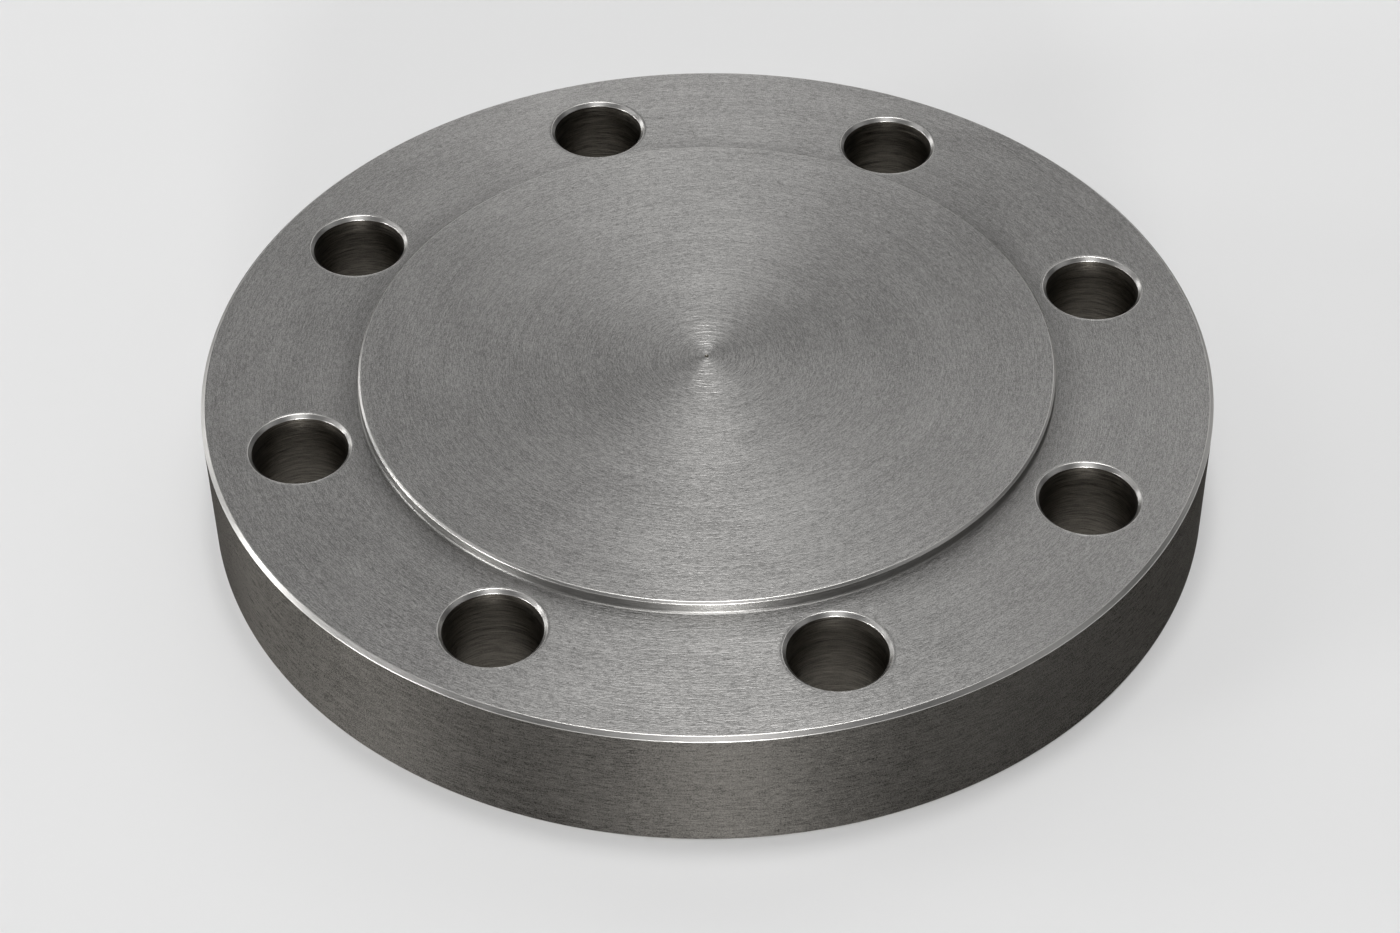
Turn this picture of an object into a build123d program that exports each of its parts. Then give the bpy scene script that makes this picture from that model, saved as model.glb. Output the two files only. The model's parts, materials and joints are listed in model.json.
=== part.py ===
from build123d import *
import os

# A blind flange turned from one steel blank: a round plate with a raised sealing face and a ring of
# bolt holes. Millimetres. Its axis is Z, its back face lies on z = 0 and its sealing face looks up.

# The raised sealing face, whose width comes from the gasket that it presses
raised_diameter = 162.0
raised_height = 3.0
raised_chamfer = 0.5  # at the edge of the sealing face
root_fillet = 0.5  # where the raised part's wall meets the plate

# The bolt holes, in a ring round the raised part
bolt_hole = 22.0
bolt_count = 8
face_margin = 4.5  # steel between a bolt hole and the raised part
mouth_chamfer = 0.8  # at the end of each hole beside the raised part
exit_chamfer = 0.6  # at the end of each hole in the back face

# The plate
flange_thickness = 32.0  # from the back face to the face round the raised part
rim_margin = 10.0  # steel between a bolt hole and the rim
rim_chamfer = 0.9  # at the upper corner of the rim
back_chamfer = 0.6  # at the lower corner of the rim

# What follows from those sizes
bolt_circle = raised_diameter + 2 * face_margin + bolt_hole
flange_diameter = bolt_circle + bolt_hole + 2 * rim_margin
flange_radius = flange_diameter / 2
raised_radius = raised_diameter / 2
hole_radius = bolt_hole / 2
sealing_level = flange_thickness + raised_height
root_radius = min(root_fillet, raised_height - raised_chamfer)
first_hole_angle = 180.0 / bolt_count  # so that the holes straddle both centre lines
overrun = 5.0  # how far the drill's shape runs past both faces


def half_section():
    """The flange's section from its axis to its rim, drawn in the XZ plane."""
    with BuildSketch(Plane.XZ) as section:
        with BuildLine():
            Polyline(
                (0, 0),
                (flange_radius - back_chamfer, 0),
                (flange_radius, back_chamfer),
                (flange_radius, flange_thickness - rim_chamfer),
                (flange_radius - rim_chamfer, flange_thickness),
                (raised_radius + root_radius, flange_thickness),
            )
            RadiusArc(
                (raised_radius + root_radius, flange_thickness),
                (raised_radius, flange_thickness + root_radius),
                root_radius,
            )
            Polyline(
                (raised_radius, flange_thickness + root_radius),
                (raised_radius, sealing_level - raised_chamfer),
                (raised_radius - raised_chamfer, sealing_level),
                (0, sealing_level),
                (0, 0),
            )
        make_face()
    return section.sketch


def drill_half_section():
    """One bolt hole's section from its axis to its wall, with the chamfer at each end."""
    mouth_radius = hole_radius + mouth_chamfer
    exit_radius = hole_radius + exit_chamfer
    with BuildSketch(Plane.XZ) as section:
        with BuildLine():
            Polyline(
                (0, -overrun),
                (exit_radius, -overrun),
                (exit_radius, 0),
                (hole_radius, exit_chamfer),
                (hole_radius, flange_thickness - mouth_chamfer),
                (mouth_radius, flange_thickness),
                (mouth_radius, flange_thickness + overrun),
                (0, flange_thickness + overrun),
                (0, -overrun),
            )
        make_face()
    return section.sketch


def blind_flange():
    """The turned blank with the ring of bolt holes taken out of it."""
    blank = revolve(half_section(), axis=Axis.Z)
    drill = revolve(drill_half_section(), axis=Axis.Z)
    holes = PolarLocations(bolt_circle / 2, bolt_count, start_angle=first_hole_angle) * drill
    return blank - holes


os.makedirs("parts", exist_ok=True)
export_step(blind_flange(), "parts/blind_flange.step")
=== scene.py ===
import json
import math
from collections import namedtuple

import bmesh
import bpy
import numpy as np
from bpy.props import FloatProperty, FloatVectorProperty, IntProperty, PointerProperty
from mathutils import Matrix, Vector


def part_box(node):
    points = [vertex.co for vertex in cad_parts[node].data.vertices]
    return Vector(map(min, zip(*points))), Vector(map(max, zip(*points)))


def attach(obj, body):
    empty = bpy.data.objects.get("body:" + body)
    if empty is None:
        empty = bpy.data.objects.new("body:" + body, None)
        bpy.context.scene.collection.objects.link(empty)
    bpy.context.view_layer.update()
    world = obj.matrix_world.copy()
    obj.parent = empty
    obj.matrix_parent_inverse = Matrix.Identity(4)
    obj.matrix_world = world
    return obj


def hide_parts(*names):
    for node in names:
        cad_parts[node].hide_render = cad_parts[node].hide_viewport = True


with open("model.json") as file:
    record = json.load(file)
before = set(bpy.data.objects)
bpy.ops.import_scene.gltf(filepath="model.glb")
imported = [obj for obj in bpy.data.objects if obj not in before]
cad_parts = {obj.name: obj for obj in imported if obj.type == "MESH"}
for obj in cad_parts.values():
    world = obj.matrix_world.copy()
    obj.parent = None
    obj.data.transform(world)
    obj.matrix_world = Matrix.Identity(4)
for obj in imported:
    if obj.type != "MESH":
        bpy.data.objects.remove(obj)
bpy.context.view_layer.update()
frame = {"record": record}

bl_info = {
    "name": "Blind flange",
    "version": (1, 0, 0),
    "blender": (4, 5, 0),
    "location": "3D View > Sidebar > Flange",
    "description": "A blind flange turned from one steel blank, on a pale floor in soft light",
    "category": "Object",
}

MILLIMETRES = 1000  # in a metre

# What the frame gives: the flange's highest corner, and its ring of bolt holes
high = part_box("blind_flange")[1]
bolts = next(m for m in frame["record"]["mounts"] if m["kind"] == "bolt_pattern")
bolt_circle_radius = bolts["dims"]["pcd_mm"] / 2 / MILLIMETRES
bolt_hole_radius = bolts["dims"]["hole_r_mm"] / MILLIMETRES
bolt_count = bolts["dims"]["count"]
first_hole = math.pi / bolt_count  # the holes straddle both centre lines
sealing_level = high.z
flange_radius = high.x

# The finishes, in the order of the piece's material slots
FACED, WALL, CHAMFER, EDGE, RIM, BORE, BACK = range(7)

# How far each hole's lay is shifted from the hole before it, so that no two holes match
HOLE_SHIFT = 0.1  # metres


class FlangeSizes(bpy.types.PropertyGroup):
    """The turned flange's own sizes, beside those that the frame gives."""

    raised_radius: FloatProperty(
        name="Raised radius", description="Radius of the raised sealing face",
        default=0.081, unit="LENGTH")
    raised_height: FloatProperty(
        name="Raised height", description="Height of the sealing face over the plate",
        default=0.003, unit="LENGTH")
    raised_chamfer: FloatProperty(
        name="Raised chamfer", description="Chamfer at the edge of the sealing face",
        default=0.0005, unit="LENGTH")
    root_fillet: FloatProperty(
        name="Root fillet", description="Radius where the raised part's wall meets the plate",
        default=0.0005, unit="LENGTH")
    rim_chamfer: FloatProperty(
        name="Rim chamfer", description="Chamfer at the upper corner of the rim",
        default=0.0009, unit="LENGTH")
    back_chamfer: FloatProperty(
        name="Back chamfer", description="Chamfer at the lower corner of the rim",
        default=0.0006, unit="LENGTH")
    mouth_chamfer: FloatProperty(
        name="Mouth chamfer", description="Chamfer at the upper end of each bolt hole",
        default=0.0008, unit="LENGTH")
    exit_chamfer: FloatProperty(
        name="Exit chamfer", description="Chamfer at the lower end of each bolt hole",
        default=0.0006, unit="LENGTH")
    edge_round: FloatProperty(
        name="Edge round", description="Rounding that handling leaves on each chamfer's edges",
        default=0.0003, unit="LENGTH")
    dimple_radius: FloatProperty(
        name="Dimple radius", description="Radius of the mark that the tool leaves on the axis",
        default=0.0004, unit="LENGTH")
    dimple_depth: FloatProperty(
        name="Dimple depth", description="Depth of the mark that the tool leaves on the axis",
        default=0.0004, unit="LENGTH")
    hole_margin: FloatProperty(
        name="Hole margin", description="Flat band between a hole's edge and the rings round it",
        default=0.0015, unit="LENGTH")
    turns: IntProperty(
        name="Divisions", description="Divisions round the flange, a multiple of the hole count",
        default=384)
    side_steps: IntProperty(
        name="Side divisions", description="Divisions along each side of a hole's sector",
        default=12)
    band_steps: IntProperty(
        name="Band divisions", description="Divisions between a hole's edge and its sector's outline",
        default=6)


class FlangeFinish(bpy.types.PropertyGroup):
    """The colours of the flange's finishes."""

    faced_colour: FloatVectorProperty(
        name="Faced steel", description="The sealing face and the plate",
        subtype="COLOR", default=(0.342, 0.336, 0.327))
    wall_colour: FloatVectorProperty(
        name="Wall steel", description="The low wall round the sealing face",
        subtype="COLOR", default=(0.28, 0.275, 0.265))
    chamfer_colour: FloatVectorProperty(
        name="Chamfer steel", description="The chamfers, cut finer than the faces",
        subtype="COLOR", default=(0.52, 0.51, 0.495))
    edge_colour: FloatVectorProperty(
        name="Bright edge", description="The edges that handling keeps bright",
        subtype="COLOR", default=(0.56, 0.55, 0.53))
    # Partly painted shade: the rim's tone is set far darker than the faces', as a darker turned finish
    # and as shade standing in for the dark that its side wall reflects.
    rim_colour: FloatVectorProperty(
        name="Rim steel", description="The turned wall of the rim",
        subtype="COLOR", default=(0.115, 0.109, 0.10))
    bore_colour: FloatVectorProperty(
        name="Drilled steel", description="The bolt holes' walls, and the small mark on the axis",
        subtype="COLOR", default=(0.185, 0.170, 0.146))
    back_colour: FloatVectorProperty(
        name="Back steel", description="The back face",
        subtype="COLOR", default=(0.38, 0.375, 0.36))


class StudioLook(bpy.types.PropertyGroup):
    """The floor, the backdrop and the camera."""

    floor_colour: FloatVectorProperty(
        name="Floor", description="Colour of the pale floor",
        subtype="COLOR", default=(0.76, 0.76, 0.76))
    floor_glow: FloatProperty(
        name="Floor glow", description="Share of the floor's own colour that fills its shadows",
        subtype="FACTOR", default=0.15)
    horizon: FloatProperty(
        name="Horizon", description="Brightness of the backdrop at the horizon", default=0.76)
    overhead: FloatProperty(
        name="Overhead", description="Brightness of the studio above", default=0.05)
    lens: FloatProperty(
        name="Lens", description="Focal length on a sensor 36 mm wide", default=80.42)
    camera_azimuth: FloatProperty(
        name="Camera azimuth", description="Direction in which the camera stands",
        default=math.radians(276.365), subtype="ANGLE")
    camera_elevation: FloatProperty(
        name="Camera elevation", description="Camera's angle above the horizon",
        default=math.radians(42.715), subtype="ANGLE")
    camera_roll: FloatProperty(
        name="Camera roll", description="Camera's turn about its own line of sight",
        default=math.radians(-0.7277), subtype="ANGLE")
    camera_distance: FloatProperty(
        name="Camera distance", description="Distance from the foot's centre",
        default=0.75168, unit="LENGTH")
    camera_aside: FloatProperty(
        name="Camera aside", description="How far the camera stands to the right of its aim",
        default=-0.00186, unit="LENGTH")


# A section line has its points and outward normals as complex numbers, the distance along it at each
# point, and the finish of each step. A grid has the place, outward normal, lay and map coordinates of
# each of its points, and the finish of each row of cells.
Line = namedtuple("Line", "points normals distance kinds")
Grid = namedtuple("Grid", "places outward lay chart kinds")


def section(corners, rounds, finishes, arc_steps=6, longest=0.0035):
    """A section line in a half plane, where a complex number holds distance from the axis and height.

    The line runs from corner to corner. At each inner corner it follows an arc of that corner's
    round, which touches both sides: the arc starts at round * tan(turn / 2) before the corner, and
    its point at sweep t is centre - inward * exp(i t) * round, where inward points from the arc's
    start to its centre. A side is divided evenly, into steps no longer than the longest. The
    finishes are those of the sides and arcs in turn. The normals are the heading turned to the left.
    """
    corners = np.array([complex(*c) for c in corners])
    sides = np.diff(corners)
    headings = sides / np.abs(sides)
    start, points, normals, kinds = corners[0], [], [], []
    for k, heading in enumerate(headings):
        last = k == len(headings) - 1
        turn = 0.0 if last else np.angle(headings[k + 1] / heading)
        cut = 0.0 if last else rounds[k] * math.tan(abs(turn) / 2)
        end = corners[k + 1] - heading * cut
        count = max(1, math.ceil(abs(end - start) / longest))
        points.append(start + (end - start) * np.arange(count) / count)
        normals.append(np.full(count, 1j * heading))
        kinds.append(np.full(count, finishes[2 * k]))
        start = end
        if cut:
            inward = 1j * heading * np.sign(turn)
            swept = np.exp(1j * turn * np.arange(arc_steps) / arc_steps)
            points.append(end + inward * rounds[k] * (1 - swept))
            normals.append(1j * heading * swept)
            kinds.append(np.full(arc_steps, finishes[2 * k + 1]))
            start = end + inward * rounds[k] * (1 - np.exp(1j * turn))
    points.append([start])
    normals.append([1j * headings[-1]])
    points, normals = np.concatenate(points), np.concatenate(normals)
    distance = np.concatenate([[0.0], np.cumsum(np.abs(np.diff(points)))])
    return Line(points, normals, distance, np.concatenate(kinds))


def ring_grid(line, angles, start=0.0):
    """A section line carried round the flange's axis.

    The point for line parameter i and angle a is (radius_i cos a, radius_i sin a, height_i). The lay
    is (x, y, distance along the line), so that a pattern drawn out along x and y follows the
    turning. The map's first coordinate runs along the line and its second round the axis.
    """
    round_about = np.stack([np.cos(angles), np.sin(angles)], axis=-1)[None]
    places = np.empty((len(line.points), len(angles), 3))
    places[..., :2] = line.points.real[:, None, None] * round_about
    places[..., 2] = line.points.imag[:, None]
    outward = np.empty_like(places)
    outward[..., :2] = line.normals.real[:, None, None] * round_about
    outward[..., 2] = line.normals.imag[:, None]
    lay = places.copy()
    lay[..., 2] = start + line.distance[:, None]
    chart = np.empty((len(line.points), len(angles), 2))
    chart[..., 0] = start + line.distance[:, None]
    chart[..., 1] = angles / (2 * math.pi)
    return Grid(places, outward, lay, chart, line.kinds)


def sector_outline(inner, outer, half, arc_steps, side_steps):
    """The closed outline of one hole's sector, clockwise from the inner corner before the hole.

    It runs along the inner arc, out along the far side, back along the outer arc, and in again.
    Returns points (x, y) in the sector's own frame, where the hole's centre lies on the x axis.
    """
    arc = np.linspace(-half, half, arc_steps + 1)
    side = np.linspace(inner, outer, side_steps + 1)
    rays = [np.exp(1j * arc[:-1]) * inner, side[:-1] * np.exp(1j * half),
            np.exp(1j * arc[:0:-1]) * outer, side[:0:-1] * np.exp(-1j * half)]
    closed = np.concatenate(rays + [rays[0][:1]])
    return np.stack([closed.real, closed.imag], axis=-1)


def flat_band(outline, circle, steps, height, facing, finish, distance_at, turned):
    """The flat face between a sector's outline and the circle round its hole.

    The point for parameters t and i is (1 - t) * outline_i + t * circle_i, with t from 0 to 1.
    It is turned by the sector's angle about the flange's axis. Its lay is (x, y, distance along
    the flange's section at that radius). With facing -1 the band runs from the hole outwards.
    """
    t = np.linspace(0, 1, steps + 1)[::facing, None, None]
    flat = (1 - t) * outline + t * circle
    radius = np.hypot(flat[..., 0], flat[..., 1])
    angle = np.arctan2(flat[..., 1], flat[..., 0]) + turned
    level = np.full(radius.shape, height)
    places = np.stack([radius * np.cos(angle), radius * np.sin(angle), level], axis=-1)
    outward = np.zeros_like(places)
    outward[..., 2] = facing
    lay = places.copy()
    lay[..., 2] = distance_at(radius)
    chart = np.stack([distance_at(radius), angle / (2 * math.pi)], axis=-1)
    return Grid(places, outward, lay, chart, np.full(steps, finish))


def hole_grid(line, angles, centre, turned, shift):
    """A hole's section line carried round the hole's own axis.

    The point for line parameter i and angle a is centre + (radius_i cos a, radius_i sin a), at
    height_i. The steel lies round it, so its normals are the line's turned about. The lay is
    measured from the hole's axis and shifted, so that no two holes match.
    """
    grid = ring_grid(line, angles + turned, start=shift)
    grid.lay[..., :2] += shift
    grid.places[..., :2] += centre
    return grid._replace(outward=-grid.outward)


MERGE_DISTANCE = 1e-7  # metres between points that are the same corner


def sew(name, grids):
    """One closed mesh from grids whose rows and columns meet at shared points.

    Each grid cell becomes a quad (i, j), (i+1, j), (i+1, j+1), (i, j+1), which faces outwards
    because every grid's rows and columns turn the same way. Doubles are merged, which also closes
    the seams and the poles. The exact normals of the surfaces are then set on the vertices.
    """
    first, corner_rows, kinds = 0, [], []
    for grid in grids:
        rows, columns = grid.places.shape[:2]
        index = first + np.arange(rows * columns).reshape(rows, columns)
        quads = np.stack([index[:-1, :-1], index[1:, :-1], index[1:, 1:], index[:-1, 1:]], axis=-1)
        corner_rows.append(quads.reshape(-1, 4))
        kinds.append(np.repeat(grid.kinds, columns - 1))
        first += rows * columns
    quads = np.concatenate(corner_rows)
    # All grids' points in one list, for each field but the finishes
    places, outward, lay, chart = (
        np.concatenate([values.reshape(-1, values.shape[-1]) for values in of_all])
        for of_all in list(zip(*grids))[:4])

    mesh = bpy.data.meshes.new(name)
    mesh.from_pydata(places.tolist(), [], quads.tolist())
    mesh.polygons.foreach_set("material_index", np.concatenate(kinds).astype(np.int32))
    mesh.polygons.foreach_set("use_smooth", np.ones(len(quads), bool))
    mesh.attributes.new("lay", "FLOAT_VECTOR", "CORNER").data.foreach_set(
        "vector", lay[quads].astype(np.float32).ravel())
    mesh.uv_layers.new(name="along_lay").uv.foreach_set(
        "vector", chart[quads].astype(np.float32).ravel())
    facing = mesh.attributes.new("facing", "FLOAT_VECTOR", "POINT")
    facing.data.foreach_set("vector", outward.astype(np.float32).ravel())

    form = bmesh.new()
    form.from_mesh(mesh)
    bmesh.ops.remove_doubles(form, verts=form.verts, dist=MERGE_DISTANCE)
    form.to_mesh(mesh)
    form.free()
    normals = np.empty(len(mesh.vertices) * 3, np.float32)
    mesh.attributes["facing"].data.foreach_get("vector", normals)
    mesh.attributes.remove(mesh.attributes["facing"])
    mesh.normals_split_custom_set_from_vertices(normals.reshape(-1, 3).tolist())
    mesh.validate()
    return mesh


def flange_mesh(sizes):
    """The whole flange: rings turned about its axis, and one sector round each bolt hole."""
    plate_level = sealing_level - sizes.raised_height
    rounding = sizes.edge_round
    reach = bolt_hole_radius + sizes.mouth_chamfer + sizes.hole_margin
    inner, outer = bolt_circle_radius - reach, bolt_circle_radius + reach
    angles = np.linspace(0, 2 * math.pi, sizes.turns + 1)

    upper = section(
        [(0, sealing_level - sizes.dimple_depth),
         (sizes.dimple_radius, sealing_level),
         (sizes.raised_radius - sizes.raised_chamfer, sealing_level),
         (sizes.raised_radius, sealing_level - sizes.raised_chamfer),
         (sizes.raised_radius, plate_level),
         (inner, plate_level)],
        [rounding, rounding, rounding, sizes.root_fillet],
        [BORE, BORE, FACED, EDGE, CHAMFER, EDGE, WALL, WALL, FACED])
    rim = section(
        [(outer, plate_level),
         (flange_radius - sizes.rim_chamfer, plate_level),
         (flange_radius, plate_level - sizes.rim_chamfer),
         (flange_radius, sizes.back_chamfer),
         (flange_radius - sizes.back_chamfer, 0),
         (outer, 0)],
        [rounding] * 4,
        [FACED, EDGE, CHAMFER, EDGE, RIM, EDGE, CHAMFER, EDGE, BACK])
    under = section([(inner, 0), (0, 0)], [], [BACK])
    hole = section(
        [(bolt_hole_radius + sizes.mouth_chamfer + 2 * rounding, plate_level),
         (bolt_hole_radius + sizes.mouth_chamfer, plate_level),
         (bolt_hole_radius, plate_level - sizes.mouth_chamfer),
         (bolt_hole_radius, sizes.exit_chamfer),
         (bolt_hole_radius + sizes.exit_chamfer, 0),
         (bolt_hole_radius + sizes.exit_chamfer + 2 * rounding, 0)],
        [rounding] * 4,
        [FACED, EDGE, CHAMFER, EDGE, BORE, EDGE, CHAMFER, EDGE, BACK])

    # Distances along the whole section, where each part of it starts
    band_start = upper.distance[-1]
    rim_start = band_start + (outer - inner)
    back_start = rim_start + rim.distance[-1]
    under_start = back_start + (outer - inner)

    half = math.pi / bolt_count
    outline = sector_outline(inner, outer, half, sizes.turns // bolt_count, sizes.side_steps)
    first_ray = outline[0] - (bolt_circle_radius, 0)
    clockwise = math.atan2(first_ray[1], first_ray[0]) - np.linspace(0, 2 * math.pi, len(outline))
    ray = np.stack([np.cos(clockwise), np.sin(clockwise)], axis=-1)
    middle = np.array([bolt_circle_radius, 0.0])

    grids = [
        ring_grid(upper, angles),
        ring_grid(rim, angles, start=rim_start),
        ring_grid(under, angles, start=under_start),
    ]
    for k in range(bolt_count):
        turned = first_hole + 2 * math.pi * k / bolt_count
        centre = bolt_circle_radius * np.array([math.cos(turned), math.sin(turned)])
        grids.append(flat_band(
            outline, middle + hole.points[0].real * ray, sizes.band_steps, plate_level, 1, FACED,
            lambda radius: band_start + radius - inner, turned))
        grids.append(hole_grid(hole, clockwise, centre, turned, HOLE_SHIFT * (k + 1)))
        grids.append(flat_band(
            outline, middle + hole.points[-1].real * ray, sizes.band_steps, 0.0, -1, BACK,
            lambda radius: back_start + outer - radius, turned))
    return sew("turned_flange", grids)


def add(tree, kind, links=None, **settings):
    """A node of that kind, with its settings, and its inputs filled or linked by name or number.

    The nodes are laid out in rows of eight.
    """
    made = tree.nodes.new(kind)
    made.location = (200 * (len(tree.nodes) % 8), -260 * (len(tree.nodes) // 8))
    for key, value in settings.items():
        setattr(made, key, value)
    for key, value in (links or {}).items():
        if isinstance(value, bpy.types.NodeSocket):
            tree.links.new(value, made.inputs[key])
        else:
            made.inputs[key].default_value = value
    return made


def sum_up(tree, operation, *values, clamp=False):
    """The result of one sum on numbers or sockets."""
    made = add(tree, "ShaderNodeMath", dict(enumerate(values)), operation=operation, use_clamp=clamp)
    return made.outputs[0]


def shared_group(name, inputs, outputs):
    """An empty node group with named inputs and outputs, and the sockets of its two end nodes."""
    tree = bpy.data.node_groups.new(name, "ShaderNodeTree")
    for label, kind, value in inputs:
        socket = tree.interface.new_socket(label, in_out="INPUT", socket_type=kind)
        if value is not None:
            socket.default_value = value
    for label, kind in outputs:
        tree.interface.new_socket(label, in_out="OUTPUT", socket_type=kind)
    return tree, tree.nodes.new("NodeGroupInput").outputs, tree.nodes.new("NodeGroupOutput").inputs


def radius_of(tree, lay):
    """The distance from the axis: the length of the lay's first two coordinates."""
    flat = add(tree, "ShaderNodeVectorMath", {0: lay, 1: (1.0, 1.0, 0.0)}, operation="MULTIPLY")
    return add(tree, "ShaderNodeVectorMath", {0: flat.outputs[0]}, operation="LENGTH").outputs["Value"]


MARKS = ("Streaks", "Rings", "Grain", "Clouds")


def tool_marks_group():
    """Marks drawn out along the turning: noise on (x / length, y / length, distance / width).

    Streaks are short and fine, Rings run much further round, and Grain and Clouds are even in all
    directions, one fine and one broad. Each comes out as a value about 0, held between -1 and 1.
    """
    ring_stretch = 20.0  # how many times a streak's length a ring's marks run
    number, vector = "NodeSocketFloat", "NodeSocketVector"
    tree, given, result = shared_group(
        "Tool marks",
        [("Lay", vector, None), ("Streak Length", number, 0.0014), ("Streak Width", number, 0.00024),
         ("Ring Width", number, 0.0006), ("Grain Size", number, 0.0003), ("Cloud Size", number, 0.02)],
        [(mark, number) for mark in MARKS])

    def drawn_out(mark, length, width, detail, reach, seed):
        """One mark's noise, moved by its seed. Its values within reach of 0.5 spread from -1 to 1."""
        along = sum_up(tree, "DIVIDE", 1.0, length)
        across = sum_up(tree, "DIVIDE", 1.0, width)
        scale = add(tree, "ShaderNodeCombineXYZ", {0: along, 1: along, 2: across}).outputs[0]
        scaled = add(tree, "ShaderNodeVectorMath", {0: given["Lay"], 1: scale}, operation="MULTIPLY")
        moved = add(tree, "ShaderNodeVectorMath", {0: scaled.outputs[0], 1: (seed, seed, seed)})
        noise = add(tree, "ShaderNodeTexNoise", {
            "Vector": moved.outputs[0], "Scale": 1.0, "Detail": detail, "Roughness": 0.6})
        spread = add(tree, "ShaderNodeMapRange", {
            "Value": noise.outputs[0], "From Min": 0.5 - reach, "From Max": 0.5 + reach,
            "To Min": -1.0, "To Max": 1.0})
        tree.links.new(spread.outputs[0], result[mark])

    long_way = sum_up(tree, "MULTIPLY", given["Streak Length"], ring_stretch)
    drawn_out("Streaks", given["Streak Length"], given["Streak Width"], 1.0, 0.15, 3.0)
    drawn_out("Rings", long_way, given["Ring Width"], 2.0, 0.20, 11.0)
    drawn_out("Grain", given["Grain Size"], given["Grain Size"], 1.0, 0.18, 17.0)
    drawn_out("Clouds", given["Cloud Size"], given["Cloud Size"], 3.0, 0.25, 23.0)
    return tree


def painted_corner_shade_group():
    """Painted shade in the corner round a raised part: it darkens the plate next to the wall, where
    shade falls.

    It is 1 at the raised part's wall and fades to 0 a reach further out. On the raised part it is 0.
    """
    number, vector = "NodeSocketFloat", "NodeSocketVector"
    tree, given, result = shared_group(
        "Painted corner shade",
        [("Lay", vector, None), ("Corner Radius", number, 0.081), ("Reach", number, 0.009)],
        [("Stain", number)])
    radius = radius_of(tree, given["Lay"])
    end = sum_up(tree, "ADD", given["Corner Radius"], given["Reach"])
    fading = add(tree, "ShaderNodeMapRange", {
        "Value": radius, "From Min": given["Corner Radius"], "From Max": end,
        "To Min": 1.0, "To Max": 0.0}, interpolation_type="SMOOTHSTEP").outputs[0]
    outside = sum_up(tree, "GREATER_THAN", radius, given["Corner Radius"])
    tree.links.new(sum_up(tree, "MULTIPLY", fading, outside), result["Stain"])
    return tree


def strong_rings_group():
    """The few rings near the axis that stand out most, from 0 to 1.

    They are the highest parts of noise on (x / length, y / length, distance / width), and fade out
    between half the reach from the axis and the whole reach.
    """
    number, vector = "NodeSocketFloat", "NodeSocketVector"
    tree, given, result = shared_group(
        "Strong rings", [("Lay", vector, None), ("Reach", number, 0.018)], [("Height", number)])
    length, width = 0.005, 0.0005
    foot, crest = 0.56, 0.66  # the noise's values at a ring's foot and at its full height
    scale = (1 / length, 1 / length, 1 / width)
    scaled = add(tree, "ShaderNodeVectorMath", {0: given["Lay"], 1: scale}, operation="MULTIPLY")
    noise = add(tree, "ShaderNodeTexNoise", {"Vector": scaled.outputs[0], "Scale": 1.0, "Detail": 0.0})
    highest = add(tree, "ShaderNodeMapRange", {
        "Value": noise.outputs[0], "From Min": foot, "From Max": crest, "To Min": 0.0, "To Max": 1.0})
    half_reach = sum_up(tree, "MULTIPLY", given["Reach"], 0.5)
    near = add(tree, "ShaderNodeMapRange", {
        "Value": radius_of(tree, given["Lay"]), "From Min": half_reach, "From Max": given["Reach"],
        "To Min": 1.0, "To Max": 0.0})
    height = sum_up(tree, "MULTIPLY", highest.outputs[0], near.outputs[0])
    tree.links.new(height, result["Height"])
    return tree


def steel_tone_group():
    """The steel's colour: the tone times 1 + streaks + rings + grain + clouds, each by its share.

    The corner's painted shade then takes its own share off it.
    """
    number, colour = "NodeSocketFloat", "NodeSocketColor"
    tree, given, result = shared_group(
        "Steel tone",
        [("Tone", colour, None), ("Stain", number, 0.0), ("Painted Shade Share", number, 0.0)]
        + [(mark, number, 0.0) for mark in MARKS] + [(mark + " Share", number, 0.1) for mark in MARKS],
        [("Color", colour)])
    share = 1.0
    for mark in MARKS:
        share = sum_up(tree, "MULTIPLY_ADD", given[mark], given[mark + " Share"], share)
    painted_shade_taken = sum_up(tree, "MULTIPLY", given["Stain"], given["Painted Shade Share"])
    share = sum_up(tree, "MULTIPLY", share, sum_up(tree, "SUBTRACT", 1.0, painted_shade_taken))
    toned = add(tree, "ShaderNodeVectorMath", {0: given["Tone"], "Scale": share}, operation="SCALE")
    tree.links.new(toned.outputs[0], result["Color"])
    return tree


# How one surface is finished. Glance is how much of a clean metal's shine at grazing angles stays,
# and relief is the height of its marks in metres. Sizes are in metres: the streaks' length and width,
# the rings' width and the size of the clouds. The shares say how far streaks, rings, grain and clouds
# move the tone and the roughness. The painted shade is the share of the tone taken off in the corner
# round the raised part, where shade falls. Strong is how many times the relief the strong rings near
# the axis are.
Finish = namedtuple(
    "Finish", "kind roughness anisotropy glance relief sizes stain strong tone_shares shine_shares")

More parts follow.
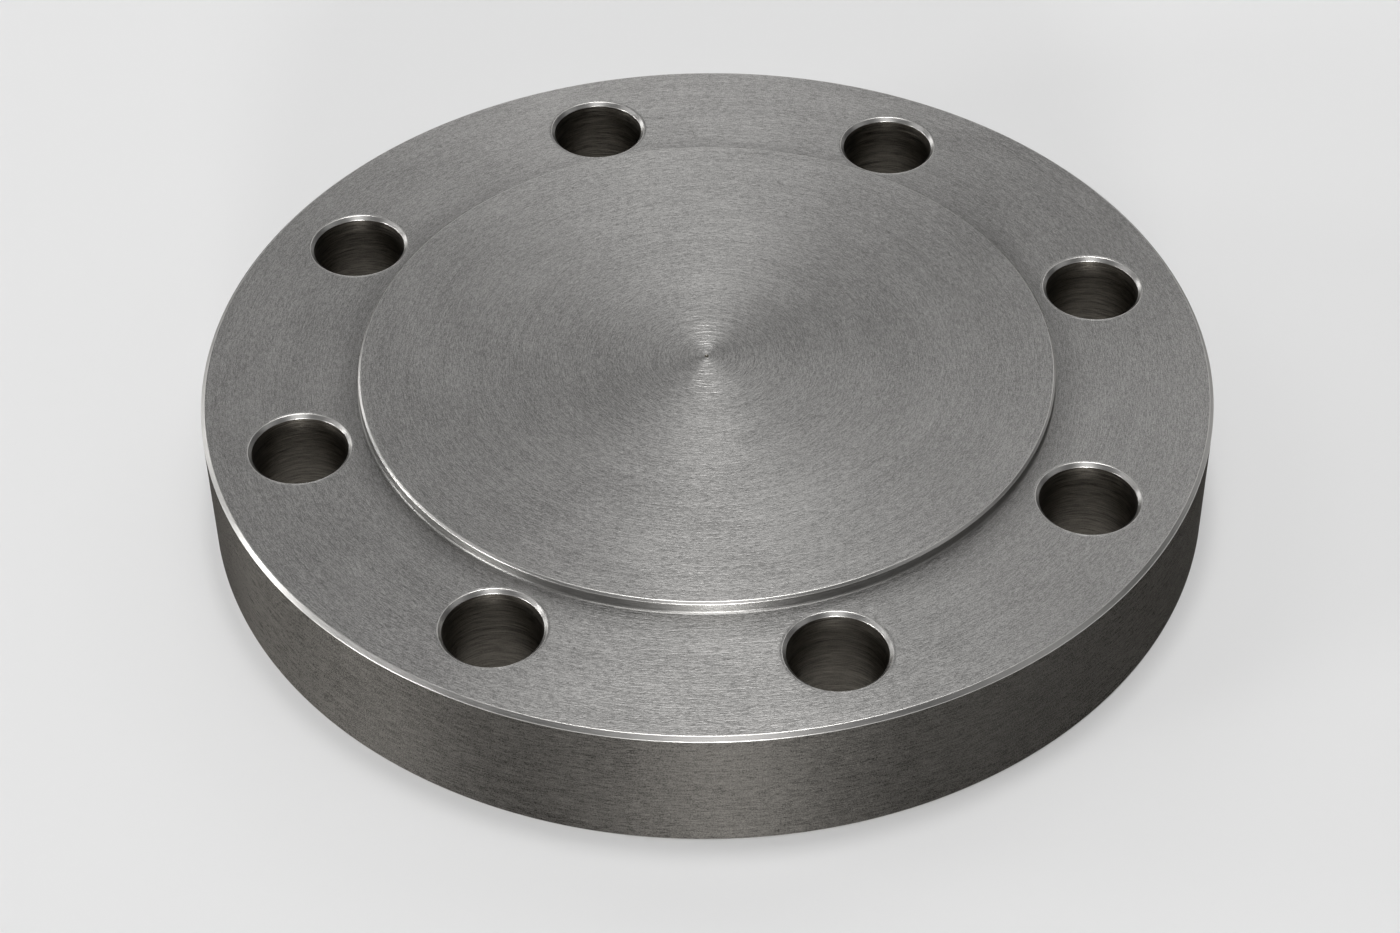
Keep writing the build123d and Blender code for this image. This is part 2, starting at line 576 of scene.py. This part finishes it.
# In the order of the material slots
FINISHES = (
    Finish("faced", roughness=0.37, anisotropy=0.45, glance=1.0, relief=0.00001,
           sizes=(0.0015, 0.00025, 0.0008, 0.02), stain=0.24, strong=4.0,
           tone_shares=(0.16, 0.06, 0.24, 0.06), shine_shares=(0.03, 0.02, 0.02, 0.02)),
    Finish("wall", roughness=0.42, anisotropy=0.80, glance=0.1, relief=0.000002,
           sizes=(0.003, 0.0003, 0.0006, 0.02), stain=0.0, strong=0.0,
           tone_shares=(0.08, 0.06, 0.05, 0.05), shine_shares=(0.02, 0.01, 0.01, 0.02)),
    Finish("chamfer", roughness=0.32, anisotropy=0.20, glance=0.3, relief=0.0000003,
           sizes=(0.003, 0.0003, 0.0004, 0.01), stain=0.0, strong=0.0,
           tone_shares=(0.03, 0.03, 0.03, 0.05), shine_shares=(0.01, 0.01, 0.00, 0.01)),
    Finish("edge", roughness=0.34, anisotropy=0.20, glance=1.0, relief=0.0000003,
           sizes=(0.003, 0.0003, 0.0004, 0.01), stain=0.0, strong=0.0,
           tone_shares=(0.04, 0.00, 0.03, 0.05), shine_shares=(0.01, 0.00, 0.00, 0.01)),
    Finish("rim", roughness=0.60, anisotropy=0.80, glance=0.2, relief=0.000024,
           sizes=(0.0028, 0.00025, 0.001, 0.02), stain=0.0, strong=0.0,
           tone_shares=(0.28, 0.10, 0.40, 0.12), shine_shares=(0.05, 0.02, 0.04, 0.03)),
    Finish("bore", roughness=0.38, anisotropy=0.50, glance=0.6, relief=0.000014,
           sizes=(0.004, 0.0003, 0.0009, 0.02), stain=0.0, strong=0.0,
           tone_shares=(0.26, 0.26, 0.14, 0.16), shine_shares=(0.03, 0.03, 0.02, 0.03)),
    Finish("back", roughness=0.50, anisotropy=0.70, glance=1.0, relief=0.000009,
           sizes=(0.0018, 0.00028, 0.0008, 0.02), stain=0.0, strong=0.0,
           tone_shares=(0.15, 0.06, 0.11, 0.06), shine_shares=(0.03, 0.02, 0.02, 0.02)),
)


def steel(finish, groups, tone, corner_radius):
    """A turned steel, whose marks move its tone and its roughness, and stand out as relief.

    The marks are the node groups' values on the piece's own lay, each times its share.
    """
    material = bpy.data.materials.new(finish.kind + "_steel")
    material.use_nodes = True
    tree = material.node_tree
    shader = tree.nodes["Principled BSDF"]
    lay = add(tree, "ShaderNodeAttribute", attribute_name="lay").outputs["Vector"]
    marks, tone_group, corner_shade_group, strong_group = groups
    marked = add(tree, "ShaderNodeGroup", node_tree=marks)
    tree.links.new(lay, marked.inputs["Lay"])
    for key, value in zip(("Streak Length", "Streak Width", "Ring Width", "Cloud Size"), finish.sizes):
        marked.inputs[key].default_value = value
    toned = add(tree, "ShaderNodeGroup", node_tree=tone_group)
    toned.inputs["Tone"].default_value = (*tone, 1.0)
    # Painted shade: the plate's tone darkens next to the raised part's wall, where shade falls.
    if finish.stain:
        painted_corner_shade = add(tree, "ShaderNodeGroup", {"Lay": lay, "Corner Radius": corner_radius},
                   node_tree=corner_shade_group)
        tree.links.new(painted_corner_shade.outputs["Stain"], toned.inputs["Stain"])
        toned.inputs["Painted Shade Share"].default_value = finish.stain
    rough = finish.roughness
    for mark, tone_share, shine_share in zip(MARKS, finish.tone_shares, finish.shine_shares):
        tree.links.new(marked.outputs[mark], toned.inputs[mark])
        toned.inputs[mark + " Share"].default_value = tone_share
        rough = sum_up(tree, "MULTIPLY_ADD", marked.outputs[mark], shine_share, rough)
    tree.links.new(toned.outputs["Color"], shader.inputs["Base Color"])
    tree.links.new(rough, shader.inputs["Roughness"])
    height = sum_up(tree, "ADD", marked.outputs["Streaks"], marked.outputs["Rings"])
    if finish.strong:
        rings = add(tree, "ShaderNodeGroup", {"Lay": lay}, node_tree=strong_group).outputs["Height"]
        height = sum_up(tree, "MULTIPLY_ADD", rings, finish.strong, height)
    bump = add(tree, "ShaderNodeBump", {"Height": height, "Distance": finish.relief})
    tree.links.new(bump.outputs[0], shader.inputs["Normal"])
    tangent = add(tree, "ShaderNodeTangent", direction_type="UV_MAP", uv_map="along_lay")
    tree.links.new(tangent.outputs[0], shader.inputs["Tangent"])
    shader.inputs["Metallic"].default_value = 1.0
    shader.inputs["Anisotropic"].default_value = finish.anisotropy
    shader.inputs["Specular Tint"].default_value = (finish.glance, finish.glance, finish.glance, 1.0)
    return material


def direction(azimuth, elevation):
    """The unit vector that points that way."""
    level = math.cos(elevation)
    return Vector((math.cos(azimuth) * level, math.sin(azimuth) * level, math.sin(elevation)))


def studio_world(look):
    """A backdrop that is pale at the horizon and dims above it, by the sine of the angle."""
    dims_from, dims_to = 0.02, 0.24  # sines of the angles above the horizon
    world = bpy.data.worlds.new("studio")
    bpy.context.scene.world = world
    world.use_nodes = True
    tree = world.node_tree
    seen = add(tree, "ShaderNodeTexCoord").outputs["Generated"]
    height = add(tree, "ShaderNodeSeparateXYZ", {0: seen}).outputs["Z"]
    level = add(tree, "ShaderNodeMapRange", {
        "Value": height, "From Min": dims_from, "From Max": dims_to,
        "To Min": look.horizon, "To Max": look.overhead}, interpolation_type="SMOOTHSTEP").outputs[0]
    back = tree.nodes["Background"]
    tree.links.new(level, back.inputs["Strength"])
    back.inputs["Color"].default_value = (1, 1, 1, 1)


def soft_light(name, azimuth, elevation, spread, brightness):
    """A distant round light. Its brightness is the share that it gives of a white floor's full light.

    Its strength is brightness * pi / sin(elevation), because light that falls at a slant is spread.
    It hangs 2 m out, though only its direction matters.
    """
    data = bpy.data.lights.new(name, "SUN")
    data.angle = spread
    data.energy = brightness * math.pi / math.sin(elevation)
    lamp = bpy.data.objects.new(name, data)
    toward = direction(azimuth, elevation)
    turn = toward.to_track_quat("Z", "Y").to_matrix().to_4x4()
    lamp.matrix_world = Matrix.Translation(toward * 2) @ turn
    lamp.visible_camera = False
    bpy.context.scene.collection.objects.link(lamp)


# Azimuth and elevation in degrees, spread in degrees, and share of the floor's light. Azimuths are
# measured from the camera's right, so that the camera stands at 270.
LIGHTS = {
    "overhead_light": (90, 86, 20, 0.43),
    "key_light": (236, 76, 24, 0.09),
    "high_right_light": (18, 76, 24, 0.08),
    "front_light": (276, 62, 20, 0.014),
    "low_front_light": (272, 7, 14, 0.082),
    "edge_light": (272, 46, 24, 0.04),
    "right_front_light": (345, 34, 30, 0.016),
    "left_light": (180, 42, 30, 0.034),
    "low_left_light": (172, 7, 14, 0.028),
    "low_front_left_light": (204, 7, 14, 0.048),
    "low_back_left_light": (140, 10, 20, 0.014),
    "back_right_light": (54, 36, 28, 0.038),
    "back_left_light": (126, 36, 28, 0.022),
    "back_light": (82, 50, 28, 0.026),
    "low_back_light": (94, 20, 26, 0.018),
}


def studio_floor(look):
    """A round floor, as a fan of rings: (radius cos a, radius sin a, 0).

    The camera and reflections see it glow a little in its own colour.
    """
    rings = np.array([0.0, 0.4, 2.0, 8.0, 30.0])
    angles = np.linspace(0, 2 * math.pi, 97)
    line = Line(points=rings + 0j, normals=np.full(len(rings), 1j), distance=rings,
                kinds=np.zeros(len(rings) - 1, int))
    mesh = sew("floor", [ring_grid(line, angles)])
    material = bpy.data.materials.new("pale_floor")
    material.use_nodes = True
    tree = material.node_tree
    shader = tree.nodes["Principled BSDF"]
    shader.inputs["Base Color"].default_value = (*look.floor_colour, 1.0)
    shader.inputs["Roughness"].default_value = 0.9
    shader.inputs["Specular IOR Level"].default_value = 0.0
    glow = add(tree, "ShaderNodeEmission", {"Color": (*look.floor_colour, 1.0)})
    ray = add(tree, "ShaderNodeLightPath").outputs
    seen = sum_up(tree, "ADD", sum_up(tree, "ADD", ray["Is Camera Ray"], ray["Is Glossy Ray"]),
                  ray["Is Transmission Ray"], clamp=True)
    share = sum_up(tree, "MULTIPLY", seen, look.floor_glow)
    mixed = add(tree, "ShaderNodeMixShader", {0: share, 1: shader.outputs[0], 2: glow.outputs[0]})
    tree.links.new(mixed.outputs[0], tree.nodes["Material Output"].inputs["Surface"])
    mesh.materials.append(material)
    floor = bpy.data.objects.new("floor", mesh)
    bpy.context.scene.collection.objects.link(floor)


def studio_camera(look):
    """A camera that looks at the foot's centre from its azimuth and elevation, then steps aside."""
    data = bpy.data.cameras.new("camera")
    data.lens = look.lens
    data.sensor_width = 36
    data.clip_start, data.clip_end = 0.01, 100
    back = direction(look.camera_azimuth, look.camera_elevation)
    right = Vector((-math.sin(look.camera_azimuth), math.cos(look.camera_azimuth), 0))
    up = back.cross(right)
    cosine, sine = math.cos(look.camera_roll), math.sin(look.camera_roll)
    right, up = right * cosine + up * sine, up * cosine - right * sine
    turn = Matrix((right, up, back)).transposed().to_4x4()
    camera = bpy.data.objects.new("camera", data)
    place = back * look.camera_distance + right * look.camera_aside
    camera.matrix_world = Matrix.Translation(place) @ turn
    bpy.context.scene.collection.objects.link(camera)
    bpy.context.scene.camera = camera


class FLANGE_OT_turn(bpy.types.Operator):
    """Turn the flange, drill its bolt holes and give each surface its finish"""

    bl_idname = "flange.turn"
    bl_label = "Turn the flange"

    def execute(self, context):
        sizes, colours = context.scene.flange_sizes, context.scene.flange_finish
        groups = tool_marks_group(), steel_tone_group(), painted_corner_shade_group(), strong_rings_group()
        mesh = flange_mesh(sizes)
        for each in FINISHES:
            colour = getattr(colours, each.kind + "_colour")
            mesh.materials.append(steel(each, groups, colour, sizes.raised_radius))
        flange = bpy.data.objects.new("turned_flange", mesh)
        context.scene.collection.objects.link(flange)
        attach(flange, "root")
        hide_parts("blind_flange")
        return {"FINISHED"}


class FLANGE_OT_stage(bpy.types.Operator):
    """Lay the pale floor, hang the soft lights and place the camera"""

    bl_idname = "flange.stage"
    bl_label = "Set the stage"

    def execute(self, context):
        look = context.scene.studio_look
        studio_floor(look)
        studio_world(look)
        for name, (azimuth, elevation, spread, brightness) in LIGHTS.items():
            turned = math.radians(azimuth - 270) + look.camera_azimuth
            soft_light(name, turned, math.radians(elevation), math.radians(spread), brightness)
        studio_camera(look)
        context.scene.view_settings.view_transform = "Standard"
        return {"FINISHED"}


class FLANGE_PT_panel(bpy.types.Panel):
    """The flange's sizes, finishes and stage"""

    bl_idname = "FLANGE_PT_panel"
    bl_label = "Blind flange"
    bl_space_type = "VIEW_3D"
    bl_region_type = "UI"
    bl_category = "Flange"

    def draw(self, context):
        for group, operator in (("flange_sizes", "flange.turn"), ("flange_finish", None),
                                ("studio_look", "flange.stage")):
            box = self.layout.box()
            values = getattr(context.scene, group)
            for key in values.__annotations__:
                box.prop(values, key)
            if operator:
                box.operator(operator)


CLASSES = (FlangeSizes, FlangeFinish, StudioLook, FLANGE_OT_turn, FLANGE_OT_stage, FLANGE_PT_panel)


def register():
    for each in CLASSES:
        bpy.utils.register_class(each)
    bpy.types.Scene.flange_sizes = PointerProperty(type=FlangeSizes)
    bpy.types.Scene.flange_finish = PointerProperty(type=FlangeFinish)
    bpy.types.Scene.studio_look = PointerProperty(type=StudioLook)


def unregister():
    del bpy.types.Scene.flange_sizes
    del bpy.types.Scene.flange_finish
    del bpy.types.Scene.studio_look
    for each in reversed(CLASSES):
        bpy.utils.unregister_class(each)


def main():
    register()
    bpy.ops.flange.turn()
    bpy.ops.flange.stage()


if __name__ == "__main__":
    main()
